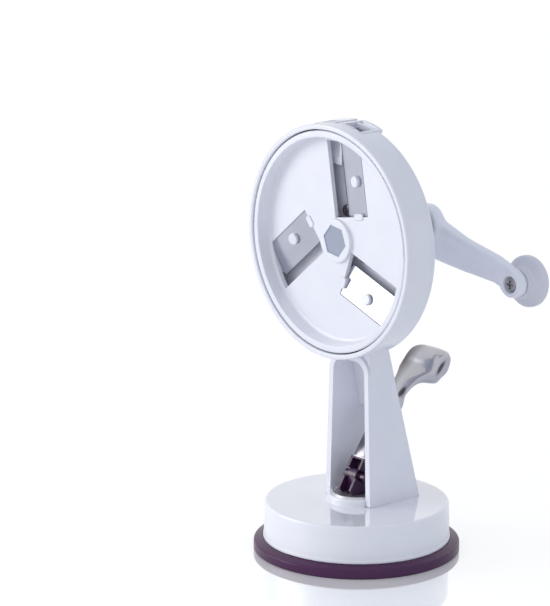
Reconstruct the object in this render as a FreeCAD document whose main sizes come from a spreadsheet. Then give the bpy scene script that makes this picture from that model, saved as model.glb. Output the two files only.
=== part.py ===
import FreeCAD, Part
import math
import os
import re
import Sketcher
from FreeCAD import Placement, Rotation, Vector

# Bean slicer on a suction foot. Millimetres, +Z up, front towards -Y.
# Origin: middle of the rubber cup on the table. The cutting drum faces -Y, the crank is at +Y.

SIZES = {
    # suction foot
    "cup_radius": 51.5,
    "cup_band": 4.7,
    "cup_skin": 3.0,
    "boss_wall": 3.0,
    "foot_radius": 46.8,
    "deck_radius": 46.0,
    "foot_level": 6.1,
    "deck_level": 25.1,
    "base_wall": 2.4,
    "base_edge": 1.2,
    "collar_wall": 2.0,
    "collar_rise": 3.5,
    "guide_wall": 4.0,
    "guide_drop": 8.0,
    "washer_gap": 0.4,
    "washer_thick": 0.8,
    "washer_rim": 0.5,
    "washer_sink": 0.4,
    # lift stem and suction lever
    "stem_radius": 5.0,
    "flange_radius": 10.0,
    "flange_thick": 3.0,
    "flange_level": 4.0,
    "tab_half_width": 2.9,
    "tab_half_depth": 4.0,
    "pin_radius": 2.3,
    "pin_end": 2.9,
    "cam_height": 8.0,
    "cam_gap": 0.2,
    "stem_lift": 3.0,
    "lever_turn": 45.0,
    "fork_gap": 0.3,
    "cheek_thick": 1.4,
    "fork_top": 9.0,
    "fork_throat": 3.4,
    "shank_half_depth": 4.5,
    "lever_lean": 32.5,
    "lever_rise": 57.8,
    "paddle_half_width": 11.5,
    # pedestal
    "leg_foot_half": 16.5,
    "leg_head_half": 13.85,
    "leg_foot_wall": 3.4,
    "leg_head_wall": 2.8,
    "leg_front": 6.1,
    "leg_foot_rear": 26.5,
    "leg_head_rear": 7.5,
    "crown_gap": 0.3,
    "crown_thick": 3.4,
    "crown_round": 9.5,
    "tenon_length": 16.0,
    "tenon_depth": 5.0,
    "tenon_inset": 0.6,
    "column_half_foot": 11.0,
    "column_half_head": 13.0,
    "column_depth": 12.0,
    "shaft_level": 159.4,
    "tube_wall": 2.6,
    "tube_rear": 40.0,
    "gusset_half": 2.5,
    "flange_margin": 2.0,
    "flange_plate_thick": 4.0,
    # cutting drum
    "drum_radius": 57.8,
    "drum_front": 21.9,
    "drum_rear": 4.9,
    "drum_wall": 2.6,
    "drum_back": 2.5,
    "feed_centre": 9.6,
    "feed_width": 12.4,
    "feed_depth": 10.5,
    "feed_wall": 1.6,
    "feed_lean": 25.0,
    "feed_mouth": 7.75,
    "feed_lip": 0.3,
    "feed_gap": 0.4,
    "screw_count": 3,
    "screw_circle": 14.0,
    "screw_radius": 1.5,
    "screw_head_radius": 3.0,
    "screw_head_height": 1.6,
    "screw_length": 8.0,
    # blade disc
    "disc_gap": 0.6,
    "disc_recess": 0.5,
    "disc_rim": 3.3,
    "disc_draft": 1.2,
    "disc_floor": 14.5,
    "disc_plate": 2.2,
    "hub_wall": 2.8,
    "hub_proud": 1.8,
    "hub_rear": 2.8,
    "hex_across": 14.0,
    "hex_turn": -9.0,
    "blade_count": 3,
    "blade_turn": -10.0,
    "slot_near": 0.6,
    "slot_width": 6.5,
    "blade_back": 24.0,
    "blade_rise": 0.8,
    "blade_thick": 0.8,
    "blade_start": 0.3,
    "blade_end": 1.1,
    "blade_margin": 0.4,
    "blade_bevel": 2.2,
    "land_setback": 2.0,
    "land_rise": 1.65,
    "stake_radius": 2.85,
    "stake_height": 2.8,
    "stake_reach": 28.3,
    "stake_across": 17.5,
    # drive shaft, bushes, clip
    "shaft_radius": 4.5,
    "shaft_short": 1.0,
    "shaft_recess": 2.5,
    "collar_thick": 1.6,
    "bush_wall": 2.7,
    "bush_length": 8.0,
    "bush_flange": 0.8,
    "clip_thick": 0.7,
    "clip_radius": 6.8,
    "clip_groove": 0.8,
    "flat_depth": 0.9,
    "running_gap": 0.05,
    "fit_gap": 0.03,
    "axial_gap": 0.1,
    # crank
    "crank_reach": 55.0,
    "crank_droop": 25.9,
    "crank_gap": 1.0,
    "crank_hub_radius": 10.1,
    "crank_hub_length": 7.4,
    "crank_step": 12.4,
    "crank_thick": 6.5,
    "eye_radius": 6.6,
    "eye_thick": 6.0,
    "arm_top_rise": 6.2,
    "arm_root_drop": 13.9,
    "arm_tip_drop": 5.6,
    "arm_round": 1.6,
    "trough_depth": 1.1,
    "crank_screw_radius": 2.0,
    "crank_screw_head": 4.0,
    "knob_screw_radius": 1.75,
    "knob_screw_head": 3.5,
    "eye_recess_gap": 0.75,
    "eye_recess_depth": 2.2,
    # knob
    "knob_gap": 0.3,
    "knob_neck": 7.4,
    "knob_rim": 13.1,
    "knob_length": 10.0,
    "knob_cap_radius": 8.0,
    "knob_cap_thick": 1.4,
    "spindle_radius": 3.6,
    "spindle_head": 5.5,
    "spindle_head_thick": 2.1,
    "spigot_radius": 2.9,
    "spigot_length": 2.6,
}

# sizes that follow from others, so that the pieces keep fitting each other
FOLLOWS = {
    "cup_boss_radius": "flange_radius + boss_wall",
    "leg_lean": "(leg_foot_half - leg_foot_wall - leg_head_half + leg_head_wall) / (crown_level - deck_level)",
    "collar_room": "leg_foot_half - leg_foot_wall - leg_lean * (collar_rise + 1)",
    "washer_radius": "collar_room - washer_gap",
    "collar_radius": "washer_radius + collar_wall",
    "guide_radius": "stem_radius + guide_wall",
    "lever_half_width": "tab_half_width + fork_gap + cheek_thick",
    "pin_half_length": "lever_half_width + pin_end",
    "crown_level": "shaft_level - drum_radius - crown_gap",
    "bush_radius": "shaft_radius + bush_wall",
    "tube_radius": "bush_radius + fit_gap + tube_wall",
    "flange_plate_radius": "screw_circle + screw_head_radius + flange_margin",
    "disc_radius": "drum_radius - drum_wall - disc_gap",
    "disc_front": "drum_front - disc_recess",
    "hub_radius": "hex_across / 2 / cos(30deg) + hub_wall",
    "blade_inner": "hub_radius + blade_start",
    "blade_outer": "disc_radius - disc_rim - disc_draft - blade_end",
    "clip_front": "tube_rear + bush_flange + axial_gap",
    "crank_front": "clip_front + clip_thick + crank_gap",
    "shaft_rear": "crank_front + crank_hub_length - shaft_short",
    "eye_front": "crank_front + crank_step",
    "eye_recess_radius": "knob_screw_head + eye_recess_gap",
}

doc = FreeCAD.newDocument("bean_slicer")
sheet = doc.addObject("Spreadsheet::Sheet", "Sizes")
for row, (alias, number) in enumerate(SIZES.items(), 1):
    sheet.set("A%d" % row, alias)
    sheet.set("B%d" % row, str(number))
    sheet.setAlias("B%d" % row, alias)
doc.recompute()


def bound(text):
    """The expression with every size name turned into references to the sheet."""
    def reference(match):
        word = match.group(0)
        if word in FOLLOWS:
            return "(%s)" % bound(FOLLOWS[word])
        return "Sizes." + word if word in SIZES else word
    return re.sub(r"[a-z_]+", reference, text)


def num(text):
    """The present value of an expression of sizes."""
    result = sheet.evalExpression(bound(text))
    return float(getattr(result, "Value", result))


# ---------------------------------------------------------------- sketches and bodies

def plane_of(body, role):
    return next(f for f in body.Origin.OriginFeatures if f.Role == role)


def corner_arc(before, corner, after, radius):
    """Arc that rounds a corner, with the two points where it meets the edges."""
    towards_before = (before - corner).normalize()
    towards_after = (after - corner).normalize()
    half = towards_before.getAngle(towards_after) / 2
    start = corner + towards_before * (radius / math.tan(half))
    end = corner + towards_after * (radius / math.tan(half))
    centre = corner + (towards_before + towards_after).normalize() * (radius / math.sin(half))
    turns_left = (corner - before).cross(after - corner).z > 0
    return start, end, centre, turns_left


def outline(body, plane, corners, offset):
    """Closed, fully dimensioned outline; each corner is (across, up, rounding)."""
    sketch = body.newObject("Sketcher::SketchObject", "outline")
    sketch.AttachmentSupport = (plane_of(body, plane), [""])
    sketch.MapMode = "FlatFace"
    sketch.setExpression("AttachmentOffset.Base.z", bound(offset))
    points = [Vector(num(c[0]), num(c[1]), 0) for c in corners]
    count = len(points)
    arcs = {}
    for i, corner in enumerate(corners):
        if len(corner) > 2:
            arcs[i] = corner_arc(points[i - 1], points[i], points[(i + 1) % count], num(corner[2]))
    for i in range(count):
        j = (i + 1) % count
        start = arcs[i][1] if i in arcs else points[i]
        end = arcs[j][0] if j in arcs else points[j]
        sketch.addGeometry(Part.LineSegment(start, end))
    for i, point in enumerate(points):
        mark = sketch.addGeometry(Part.Point(point), True)
        across = sketch.addConstraint(Sketcher.Constraint("DistanceX", -1, 1, mark, 1, point.x))
        up = sketch.addConstraint(Sketcher.Constraint("DistanceY", -1, 1, mark, 1, point.y))
        sketch.setExpression("Constraints[%d]" % across, bound(corners[i][0]))
        sketch.setExpression("Constraints[%d]" % up, bound(corners[i][1]))
        before = (i - 1) % count
        if i in arcs:
            round_corner(sketch, arcs[i], corners[i][2], before, i, mark)
        else:
            sketch.addConstraint(Sketcher.Constraint("Coincident", before, 2, mark, 1))
            sketch.addConstraint(Sketcher.Constraint("Coincident", i, 1, mark, 1))
    return sketch


def round_corner(sketch, arc, radius, before, after, mark):
    start, end, centre, turns_left = arc
    if not turns_left:
        start, end = end, start
    first = math.atan2(start.y - centre.y, start.x - centre.x)
    last = math.atan2(end.y - centre.y, end.x - centre.x)
    circle = Part.Circle(centre, Vector(0, 0, 1), num(radius))
    curve = sketch.addGeometry(Part.ArcOfCircle(circle, first, last))
    ends = (1, 2) if turns_left else (2, 1)
    sketch.addConstraint(Sketcher.Constraint("PointOnObject", mark, 1, before))
    sketch.addConstraint(Sketcher.Constraint("PointOnObject", mark, 1, after))
    sketch.addConstraint(Sketcher.Constraint("Tangent", before, 2, curve, ends[0]))
    sketch.addConstraint(Sketcher.Constraint("Tangent", after, 1, curve, ends[1]))
    size = sketch.addConstraint(Sketcher.Constraint("Radius", curve, num(radius)))
    sketch.setExpression("Constraints[%d]" % size, bound(radius))


def slab(label, plane, corners, low, high):
    """Outline made solid between two levels along the axis square to its plane."""
    body = doc.addObject("PartDesign::Body", label)
    body.Label = label
    offset = "-(%s)" % high if plane == "XZ_Plane" else low
    sketch = outline(body, plane, corners, offset)
    pad = body.newObject("PartDesign::Pad", label + "_pad")
    pad.Profile = sketch
    pad.setExpression("Length", bound("(%s) - (%s)" % (high, low)))
    body.Tip = pad
    return body


def turned(label, axis, corners):
    """Round part. Corners are (radius, height) about Z, or (length, radius) about X or Y."""
    body = doc.addObject("PartDesign::Body", label)
    body.Label = label
    plane = "YZ_Plane" if axis == "Y" else "XZ_Plane"
    sketch = outline(body, plane, corners, "0")
    turn = body.newObject("PartDesign::Revolution", label + "_turn")
    turn.Profile = sketch
    turn.ReferenceAxis = (sketch, ["V_Axis" if axis == "Z" else "H_Axis"])
    turn.Angle = 360
    body.Tip = turn
    return body


# ---------------------------------------------------------------- primitives and booleans

def move(item, x="0", y="0", z="0", turn=None):
    """Place an item at bound coordinates; turn is (axis, degrees expression)."""
    rotation = Rotation()
    if turn:
        rotation = Rotation(turn[0], num(turn[1]))
    item.Placement = Placement(Vector(num(x), num(y), num(z)), rotation)
    item.setExpression("Placement.Base.x", bound(x))
    item.setExpression("Placement.Base.y", bound(y))
    item.setExpression("Placement.Base.z", bound(z))
    if turn:
        item.setExpression("Placement.Rotation.Angle", bound("1deg * (%s)" % turn[1]))
    return item


X_AXIS, Y_AXIS, Z_AXIS = Vector(1, 0, 0), Vector(0, 1, 0), Vector(0, 0, 1)


def block(label, x, y, z):
    """Box between (low, high) pairs of expressions."""
    item = doc.addObject("Part::Box", label)
    item.setExpression("Length", bound("(%s) - (%s)" % (x[1], x[0])))
    item.setExpression("Width", bound("(%s) - (%s)" % (y[1], y[0])))
    item.setExpression("Height", bound("(%s) - (%s)" % (z[1], z[0])))
    return move(item, x[0], y[0], z[0])


def rod(label, radius, low, high, x="0", z="shaft_level"):
    """Cylinder along Y between two levels."""
    item = doc.addObject("Part::Cylinder", label)
    item.setExpression("Radius", bound(radius))
    item.setExpression("Height", bound("(%s) - (%s)" % (high, low)))
    return move(item, x, low, z, (X_AXIS, "-90"))


def join(label, items):
    item = doc.addObject("Part::MultiFuse", label)
    item.Shapes = items
    item.Refine = True
    return item


def carve(label, base, tools):
    item = doc.addObject("Part::Cut", label)
    item.Base = base
    item.Tool = tools[0] if len(tools) == 1 else join(label + "_tools", tools)
    item.Refine = True
    return item


def meet(label, items):
    item = doc.addObject("Part::MultiCommon", label)
    item.Shapes = items
    item.Refine = True
    return item


def screw(label, radius, head_radius, head_height, length):
    """Pan-head cross-slot screw: seat at Y 0, head towards -Y, shank towards +Y."""
    corners = [
        ("-(%s)" % head_height, "0"),
        ("-(%s)" % head_height, head_radius, "0.6 * (%s)" % head_height),
        ("0", head_radius),
        ("0", radius),
        (length, radius, "0.4 * (%s)" % radius),
        (length, "0"),
    ]
    blank = turned(label + "_blank", "Y", corners)
    depth = ("-(%s) - 0.1" % head_height, "-0.35 * (%s)" % head_height)
    reach = "0.62 * (%s)" % head_radius
    wide = ("-(%s)" % reach, reach)
    thin = ("-0.14 * (%s)" % head_radius, "0.14 * (%s)" % head_radius)
    return carve(label, blank, [
        block(label + "_cross_a", wide, depth, thin),
        block(label + "_cross_b", thin, depth, wide),
    ])


SCREWS = SIZES["screw_count"]


def around(count, start, radius):
    """Evenly spaced positions on a circle about the shaft, as bound expressions."""
    places = []
    for i in range(count):
        angle = "1deg * (%s + %g)" % (start, 360.0 / count * i)
        places.append(("%s * cos(%s)" % (radius, angle), "shaft_level + %s * sin(%s)" % (radius, angle)))
    return places


# ---------------------------------------------------------------- suction foot

def suction_cup():
    seat = "foot_level"
    inside = "foot_radius - base_wall - 1"
    flange_top = "flange_level + flange_thick"
    pocket = "flange_radius + running_gap"
    return turned("suction_cup", "Z", [
        ("0", "0"),
        ("cup_radius", "0", "0.7"),
        ("cup_radius", "cup_band", "1.2"),
        ("foot_radius + 0.8", seat, "0.4"),
        (inside, seat, "0.2"),
        (inside + " - 1", "cup_skin", "1"),
        ("cup_boss_radius", "cup_skin", "1.5"),
        ("cup_boss_radius", flange_top + " + 2.5", "1"),
        ("stem_radius + 0.6", flange_top + " + 2.5"),
        ("stem_radius + 0.6", flange_top),
        (pocket, flange_top),
        (pocket, "flange_level"),
        ("0", "flange_level"),
    ])


def base_cup():
    ceiling = "deck_level - base_wall"
    washer_seat = "deck_level + collar_rise - washer_sink"
    shell = turned("base_shell", "Z", [
        ("foot_radius", "foot_level", "0.5"),
        ("foot_radius - 0.1", "foot_level + 1.6"),
        ("foot_radius - 0.4", "foot_level + 1.9"),
        ("deck_radius", "deck_level", "base_edge"),
        ("collar_radius + 0.4", "deck_level", "0.6"),
        ("collar_radius", "deck_level + collar_rise", "0.8"),
        ("washer_radius + fit_gap", "deck_level + collar_rise"),
        ("washer_radius + fit_gap", washer_seat),
        ("stem_radius + running_gap", washer_seat),
        ("stem_radius + running_gap", ceiling + " - guide_drop"),
        ("guide_radius", ceiling + " - guide_drop", "0.6"),
        ("guide_radius", ceiling, "1"),
        ("deck_radius - base_wall", ceiling, "1.5"),
        ("foot_radius - base_wall", "foot_level"),
    ])
    tools = []
    for side, name in ((1, "right"), (-1, "left")):
        inner = "leg_foot_half - leg_foot_wall"
        near, far = "collar_room", "leg_foot_half"
        slot_near, slot_far = inner + " + tenon_inset - fit_gap", "leg_foot_half - tenon_inset + fit_gap"
        if side < 0:
            near, far = "-leg_foot_half", "-collar_room"
            slot_near, slot_far = "-(%s)" % slot_far, "-(%s)" % slot_near
        tools.append(block("collar_flat_" + name, (near, far), ("-collar_radius - 1", "collar_radius + 1"),
                           ("deck_level", "deck_level + collar_rise + 1")))
        tools.append(block("tenon_slot_" + name, (slot_near, slot_far), ("-fit_gap", "tenon_length + fit_gap"),
                           (ceiling + " - 1", "deck_level + 1")))
    return carve("base_cup", shell, tools)


def cam_washer():
    seat = "deck_level + collar_rise - washer_sink"
    return turned("cam_washer", "Z", [
        ("stem_radius + 0.4", seat),
        ("washer_radius", seat, "0.3"),
        ("washer_radius", seat + " + washer_thick + washer_rim", "0.25"),
        ("washer_radius - 0.9", seat + " + washer_thick + washer_rim", "0.3"),
        ("washer_radius - 1.6", seat + " + washer_thick", "0.5"),
        ("stem_radius + 0.4", seat + " + washer_thick"),
    ])


PIVOT = "deck_level + collar_rise - washer_sink + washer_thick + cam_gap + cam_height"


def lift_stem():
    shoulder = PIVOT + " - cam_height - stem_lift - 0.4"
    shank = turned("stem_shank", "Z", [
        ("0", "flange_level"),
        ("flange_radius", "flange_level", "0.4"),
        ("flange_radius", "flange_level + flange_thick", "0.4"),
        ("stem_radius", "flange_level + flange_thick"),
        ("stem_radius", shoulder, "0.4"),
        ("0", shoulder),
    ])
    tab = slab("stem_tab", "YZ_Plane", [
        ("-tab_half_depth", shoulder + " - 2"),
        ("tab_half_depth", shoulder + " - 2"),
        ("tab_half_depth", PIVOT + " + tab_half_depth", "tab_half_depth - 0.2"),
        ("-tab_half_depth", PIVOT + " + tab_half_depth", "tab_half_depth - 0.2"),
    ], "-tab_half_width", "tab_half_width")
    pin = turned("stem_pin", "X", [
        ("-pin_half_length", "0"),
        ("-pin_half_length", "pin_radius", "0.6"),
        ("pin_half_length", "pin_radius", "0.6"),
        ("pin_half_length", "0"),
    ])
    move(pin, z=PIVOT)
    return join("lift_stem", [shank, tab, pin])


def superellipse(front, rear, half_width, power):
    """Closed smooth section between a front and a rear point of the lever's side view."""
    middle = (front + rear) * 0.5
    across = (front - rear) * 0.5
    points = []
    for i in range(24):
        angle = 2 * math.pi * (i + 0.5) / 24
        c, s = math.cos(angle), math.sin(angle)
        wide = half_width * math.copysign(abs(c) ** (2 / power), c)
        thick = math.copysign(abs(s) ** (2 / power), s)
        points.append(Vector(wide, 0, 0) + middle + across * thick)
    curve = Part.BSplineCurve()
    curve.interpolate(points, PeriodicFlag=True)
    return Part.Wire([curve.toShape()])


def cam_circle():
    """Centre offset and radius of the round cam that lifts the pin evenly over the lever's travel."""
    full = math.radians(num("lever_turn"))
    lift = num("stem_lift")
    s_half, c_half = math.sin(full / 2), math.cos(full / 2) - 1
    s_full, c_full = math.sin(full), math.cos(full) - 1
    scale = s_half * c_full - s_full * c_half
    back = (lift / 2 * c_full - lift * c_half) / scale
    down = (s_half * lift - s_full * lift / 2) / scale
    return back, -down, num("cam_height") - down


def lever_point(along, across):
    """Point of the side view: distance up the fork's lean, and back from its middle, from the pin."""
    lean = math.radians(num("lever_lean"))
    pivot = Vector(0, 0, num(PIVOT))
    return pivot + Vector(0, along * math.sin(lean) + across * math.cos(lean),
                          along * math.cos(lean) - across * math.sin(lean))


def suction_lever():
    pivot = Vector(0, 0, num(PIVOT))
    half = num("lever_half_width")
    wide = num("paddle_half_width")
    top = num("fork_top")
    depth = num("shank_half_depth")
    # side view above the fork: front point and rear point in hundredths of the rise, half width, squareness
    stations = [
        ((27.2, 52.8), (38.0, 44.8), half, 5.0), ((40.8, 65.1), (47.9, 59.0), half + 0.4, 4.8),
        ((49.8, 73.2), (53.6, 68.5), 0.55 * wide, 2.6), ((56.6, 79.9), (62.3, 72.7), 0.70 * wide, 2.9),
        ((65.2, 85.8), (74.0, 71.1), wide, 3.5), ((73.7, 95.5), (85.0, 74.6), wide, 4.0),
        ((82.0, 99.8), (90.7, 78.5), 0.98 * wide, 4.2), ((88.0, 100.0), (94.4, 84.9), 0.94 * wide, 3.2),
        ((93.4, 97.8), (95.8, 91.3), 0.72 * wide, 3.4),
    ]
    sections = [superellipse(lever_point(top + rise, -thick), lever_point(top + rise, thick), half, 5.0)
                for rise, thick in ((0, depth), (3, depth), (16, 0.83 * depth))]
    hundredth = num("lever_rise") / 100
    for front, rear, half_width, power in stations:
        low, high = Vector(0, *front) * hundredth, Vector(0, *rear) * hundredth
        sections.append(superellipse(pivot + low, pivot + high, half_width, power))
    shank = Part.makeLoft(sections, True, False)
    lever = doc.addObject("Part::Feature", "suction_lever")
    lever.Label = "suction_lever"
    lever.Shape = shank.fuse(fork(pivot, half + 0.15))
    lever.Placement = Placement()
    return lever


def fork(pivot, half):
    """Fork that straddles the stem, with the hook slot for its pin and the lifting cam below."""
    back, up, radius = cam_circle()
    turn = math.radians(num("lever_turn"))
    centre = pivot + Vector(0, back, up)
    lowest = centre + Vector(0, 0, -radius)
    halfway = centre + Vector(0, math.sin(turn / 2), -math.cos(turn / 2)) * radius
    highest = centre + Vector(0, math.sin(turn), -math.cos(turn)) * radius
    size = num("cam_height")
    top = num("fork_top")
    depth = num("shank_half_depth") + 0.15
    heel = highest + Vector(0, math.cos(turn), math.sin(turn)) * 0.2 * size
    front_foot = pivot + Vector(0, -0.85 * size, lowest.z - pivot.z)
    rim = [
        highest, heel, heel + Vector(0, -0.15, 0.425) * size, lever_point(top, depth),
        lever_point(top, -depth), pivot + Vector(0, -1.09, -0.7) * size, front_foot, lowest,
    ]
    edges = [Part.Arc(lowest, halfway, highest).toShape()]
    edges += [Part.makeLine(a, b) for a, b in zip(rim, rim[1:])]
    side = Part.Face(Part.Wire(edges))
    side.translate(Vector(-half, 0, 0))
    plate = side.extrude(Vector(2 * half, 0, 0))
    gap_half = num("lever_half_width - cheek_thick")
    throat = num("tab_half_depth + fork_throat")
    past = 5 * size
    gap = Part.makeBox(2 * gap_half, 2 * past, past + throat, Vector(-gap_half, -past, -past))
    slot_half = num("pin_radius + running_gap")
    slot = Part.makeBox(4 * half, past, 2 * slot_half, Vector(-2 * half, -past, -slot_half))
    slot = slot.fuse(Part.makeCylinder(slot_half, 4 * half, Vector(-2 * half, 0, 0), X_AXIS))
    for tool in (gap, slot):
        tool.rotate(Vector(), X_AXIS, -num("lever_lean"))
        tool.translate(pivot)
    return plate.cut(gap).cut(slot)


# ---------------------------------------------------------------- pedestal

def pedestal():
    rear = "drum_rear"
    outer = slab("arch_outer", "XZ_Plane", [
        ("-leg_foot_half", "deck_level"),
        ("leg_foot_half", "deck_level"),
        ("leg_head_half", "crown_level", "crown_round"),
        ("-leg_head_half", "crown_level", "crown_round"),
    ], "-leg_front - 1", "leg_foot_rear + 1")
    inner = slab("arch_inner", "XZ_Plane", [
        ("leg_foot_wall - leg_foot_half", "deck_level - 1"),
        ("leg_foot_half - leg_foot_wall", "deck_level - 1"),
        ("leg_head_half - leg_head_wall", "crown_level - crown_thick", "crown_round - leg_head_wall"),
        ("leg_head_wall - leg_head_half", "crown_level - crown_thick", "crown_round - leg_head_wall"),
    ], "-leg_front - 2", "leg_foot_rear + 2")
    side = slab("arch_side", "YZ_Plane", [
        ("-leg_front", "deck_level", "0.8"),
        ("leg_foot_rear", "deck_level", "1.6"),
        ("leg_head_rear", "crown_level", "1"),
        ("-leg_front", "crown_level", "0.8"),
    ], "-leg_foot_half - 1", "leg_foot_half + 1")
    arch = meet("arch", [carve("arch_frame", outer, [inner]), side])
    column = slab("column", "XZ_Plane", [
        ("-column_half_foot", "crown_level - crown_thick + 0.4"),
        ("column_half_foot", "crown_level - crown_thick + 0.4"),
        ("column_half_head", "shaft_level"),
        ("-column_half_head", "shaft_level"),
    ], "-drum_rear", "column_depth - drum_rear")
    gusset = slab("gusset", "YZ_Plane", [
        ("0", "shaft_level - 42"),
        ("column_depth - drum_rear", "shaft_level - 42", "6"),
        ("tube_rear - 3", "shaft_level - tube_radius"),
        ("tube_rear - 3", "shaft_level"),
        ("0", "shaft_level"),
    ], "-gusset_half", "gusset_half")
    solids = [
        arch, column, gusset,
        rod("column_head", "column_half_head", "-drum_rear", "column_depth - drum_rear"),
        rod("flange_plate", "flange_plate_radius", "-drum_rear", "flange_plate_thick - drum_rear"),
        rod("bearing_tube", "tube_radius", "-drum_rear", "tube_rear"),
    ]
    for name, low, high in (
            ("left", "tenon_inset - leg_foot_half", "leg_foot_wall - tenon_inset - leg_foot_half"),
            ("right", "leg_foot_half - leg_foot_wall + tenon_inset", "leg_foot_half - tenon_inset")):
        solids.append(block("tenon_" + name, (low, high), ("0", "tenon_length"),
                            ("deck_level - tenon_depth", "deck_level + 1")))
    bush_bore = "bush_radius + fit_gap"
    tools = [
        rod("shaft_way", "shaft_radius + 0.9", "-drum_rear - 1", "tube_rear + 1"),
        rod("front_bush_seat", bush_bore, "-drum_rear - 1", "bush_length - drum_rear"),
        rod("rear_bush_seat", bush_bore, "tube_rear - bush_length", "tube_rear + 1"),
    ]
    for i, (x, z) in enumerate(around(SCREWS, "90", "screw_circle")):
        tools.append(rod("pilot_%d" % i, "screw_radius + fit_gap", "-drum_rear - 1", "1.5", x, z))
    return carve("pedestal", join("pedestal_solid", solids), tools)


# ---------------------------------------------------------------- cutting drum

def leaning_shaft(label, half_width, half_depth, side, top):
    """Upright box leaning back on the shaft's crown, centred on one feed opening."""
    item = block(label, ("-(%s)" % half_width, half_width), ("-(%s)" % half_depth, half_depth), ("-40", top))
    middle = doc.addObject("Part::MultiFuse", label + "_placed")
    middle.Shapes = [item, block(label + "_core", ("-0.1", "0.1"), ("-0.1", "0.1"), ("-1", "1"))]
    return move(middle, "%d * feed_centre" % side, "-feed_mouth", "shaft_level + drum_radius",
                (X_AXIS, "-feed_lean"))


def drum_housing():
    shell = turned("drum_shell", "Y", [
        ("-drum_front", "drum_radius - drum_wall", "0.6"),
        ("-drum_front", "drum_radius", "0.9"),
        ("-drum_rear", "drum_radius", "1.2"),
        ("-drum_rear", "bush_radius + bush_flange + fit_gap"),
        ("-drum_rear - drum_back", "bush_radius + bush_flange + fit_gap"),
        ("-drum_rear - drum_back", "drum_radius - drum_wall", "1.5"),
    ])
    move(shell, z="shaft_level")
    guard = "disc_plate - disc_floor + land_rise + feed_gap"
    keep = meet("feed_room", [
        rod("feed_trim", "drum_radius + feed_lip", "-drum_front - 1", "drum_rear"),
        block("feed_side", ("-30", "30"), (guard, "drum_rear"), ("shaft_level + 20", "shaft_level + 70")),
    ])
    blocks = []
    passages = []
    for side, name in ((-1, "left"), (1, "right")):
        blocks.append(leaning_shaft("feed_block_" + name, "feed_width / 2 + feed_wall",
                                    "feed_depth / 2 + feed_wall", side, "20"))
        passages.append(leaning_shaft("feed_way_" + name, "feed_width / 2", "feed_depth / 2", side, "25"))
    lip_band = rod("lip_band", "drum_radius + feed_lip", "-feed_mouth - feed_depth / 2 - feed_wall", "drum_rear")
    front_lip = meet("front_lip", [lip_band, join("lip_blocks", [
        leaning_shaft("lip_block_" + name, "feed_width / 2 + feed_wall", "feed_depth / 2 + feed_wall", side, "20")
        for side, name in ((-1, "left"), (1, "right"))]),
        carve("rim_zone", rod("rim_outer", "drum_radius + 9", "-drum_front", "drum_rear + 9"),
              [rod("rim_inner", "drum_radius - drum_wall + 0.5", "-drum_front - 1", "drum_rear + 10")])])
    body = join("drum_solid", [shell, meet("feed_blocks", [join("feed_block_pair", blocks), keep]), front_lip])
    tools = [join("feed_ways", passages)]
    for i, (x, z) in enumerate(around(SCREWS, "90", "screw_circle")):
        tools.append(rod("drum_hole_%d" % i, "screw_radius + 0.2", "-drum_front", "0", x, z))
    return carve("drum_housing", body, tools)


def housing_screws():
    group = doc.addObject("Part::Compound", "housing_screws")
    links = []
    for i, (x, z) in enumerate(around(SCREWS, "90", "screw_circle")):
        item = screw("housing_screw_%d" % i, "screw_radius", "screw_head_radius", "screw_head_height",
                     "drum_back + screw_length - 2.5")
        links.append(move(item, x, "-drum_rear - drum_back", z))
    group.Links = links
    return group


# ---------------------------------------------------------------- blade disc and blades

def blade_line(across):
    """Y of the blade's front face at a distance across, from the slot's edge to the blade's back."""
    share = "(blade_back - (%s)) / (blade_back - slot_near - slot_width)" % across
    return "(-disc_floor + (disc_plate + blade_rise) * %s)" % share


BLADES = range(SIZES["blade_count"])
SLOPE = "atan((disc_plate + blade_rise) / (blade_back - slot_near - slot_width))"
THICK = "blade_thick / cos(%s)" % SLOPE
EDGE = "slot_near + slot_width"


def blade_angle(i):
    return "blade_turn + %d * 360 / blade_count" % i


def blade(i):
    """Flat blade, ground to its edge from the feed side, cut round at its outer end."""
    name = "blade_%d" % (i + 1)
    back = "blade_back - blade_margin"
    ground = EDGE + " + blade_bevel"
    plate = slab(name + "_plate", "XY_Plane", [
        (EDGE, blade_line(EDGE)),
        (back, blade_line(back)),
        (back, blade_line(back) + " + " + THICK),
        (ground, blade_line(ground) + " + " + THICK),
    ], "blade_inner + blade_margin", "blade_outer + 4")
    trim = rod(name + "_trim", "blade_outer - blade_margin", "-disc_front", "0", z="0")
    hole = stake(name + "_hole", "stake_radius - 1 + fit_gap", "-4", "4")
    return move(carve(name, meet(name + "_form", [plate, trim]), [hole]), z="shaft_level",
                turn=(Y_AXIS, blade_angle(i)))


def stake(label, radius, low, high):
    """Cylinder square to the blade's face where the stake holds the blade."""
    item = doc.addObject("Part::Cylinder", label)
    item.setExpression("Radius", bound(radius))
    item.setExpression("Height", bound("(%s) - (%s)" % (high, low)))
    slope = math.degrees(math.atan(num("(disc_plate + blade_rise) / (blade_back - slot_near - slot_width)")))
    direction = Rotation(Z_AXIS, -slope) * Rotation(X_AXIS, -90)
    item.Placement = Placement(Vector(), direction)
    shift = direction.multVec(Vector(0, 0, 1)) * num(low)
    foot = Vector(num("stake_across"), num(blade_line("stake_across")), num("stake_reach"))
    item.Placement = Placement(foot + shift, direction)
    return item


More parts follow.
